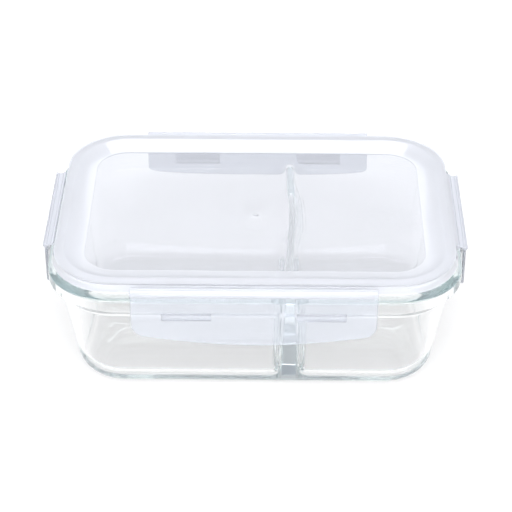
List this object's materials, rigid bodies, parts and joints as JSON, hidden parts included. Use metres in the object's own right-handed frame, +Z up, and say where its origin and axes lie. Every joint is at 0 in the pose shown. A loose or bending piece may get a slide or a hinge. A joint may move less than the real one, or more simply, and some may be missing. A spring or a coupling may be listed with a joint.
{
  "type": "bento lunch box",
  "caption": "Rectangular pressed-glass lunch box with a divided base, an outward locking ledge and a translucent snap lid with gasket and hinged locking flaps.",
  "frame": {"origin": "centre of the base, on the surface that the box stands on", "axes": "+X along the length (the divider is on the +X side), +Y towards the back long side, +Z up"},
  "size_m": [0.2186, 0.1594, 0.0735],
  "materials": {
    "clear_glass": "clear pressed borosilicate glass, slightly green at thick edges",
    "lid_plastic": "translucent milky polypropylene, fine satin",
    "silicone": "translucent white silicone, matt",
    "hinge_film": "thin flexed polypropylene film, slightly whitened",
    "flap_plastic": "translucent milky polypropylene, smooth"
  },
  "bodies": {
    "dish": {"glass_dish": "clear_glass"},
    "lid": {"lid_panel": "lid_plastic", "lid_gasket": "silicone"},
    "front_film": {"front_hinge": "hinge_film"},
    "back_film": {"back_hinge": "hinge_film"},
    "left_film": {"left_hinge": "hinge_film"},
    "right_film": {"right_hinge": "hinge_film"},
    "front_latch": {"front_flap": "flap_plastic"},
    "back_latch": {"back_flap": "flap_plastic"},
    "left_latch": {"left_flap": "flap_plastic"},
    "right_latch": {"right_flap": "flap_plastic"}
  },
  "joints": [
    {"name": "lid_lift", "type": "slide", "parent": "dish", "child": "lid", "axis": [0, 0, 1], "range_m": [0, 0.022]},
    {"name": "front_film_bend", "type": "hinge", "parent": "lid", "child": "front_film", "pos_m": [0, -0.07355, 0.071], "axis": [-1, 0, 0], "range_deg": [0, 90]},
    {"name": "back_film_bend", "type": "hinge", "parent": "lid", "child": "back_film", "pos_m": [0, 0.07355, 0.071], "axis": [1, 0, 0], "range_deg": [0, 90]},
    {"name": "left_film_bend", "type": "hinge", "parent": "lid", "child": "left_film", "pos_m": [-0.10405, 0, 0.071], "axis": [0, 1, 0], "range_deg": [0, 90]},
    {"name": "right_film_bend", "type": "hinge", "parent": "lid", "child": "right_film", "pos_m": [0.10405, 0, 0.071], "axis": [0, -1, 0], "range_deg": [0, 90]},
    {"name": "front_flap_swing", "type": "hinge", "parent": "front_film", "child": "front_latch", "pos_m": [0, -0.077, 0.0703], "axis": [-1, 0, 0], "range_deg": [0, 90]},
    {"name": "back_flap_swing", "type": "hinge", "parent": "back_film", "child": "back_latch", "pos_m": [0, 0.077, 0.0703], "axis": [1, 0, 0], "range_deg": [0, 90]},
    {"name": "left_flap_swing", "type": "hinge", "parent": "left_film", "child": "left_latch", "pos_m": [-0.1075, 0, 0.0703], "axis": [0, 1, 0], "range_deg": [0, 90]},
    {"name": "right_flap_swing", "type": "hinge", "parent": "right_film", "child": "right_latch", "pos_m": [0.1075, 0, 0.0703], "axis": [0, -1, 0], "range_deg": [0, 90]}
  ],
  "couplings": [
    {"joint": "front_film_bend", "follows": "lid_lift", "rad_per_m": 69.813},
    {"joint": "back_film_bend", "follows": "lid_lift", "rad_per_m": 69.813},
    {"joint": "left_film_bend", "follows": "lid_lift", "rad_per_m": 69.813},
    {"joint": "right_film_bend", "follows": "lid_lift", "rad_per_m": 69.813}
  ]
}
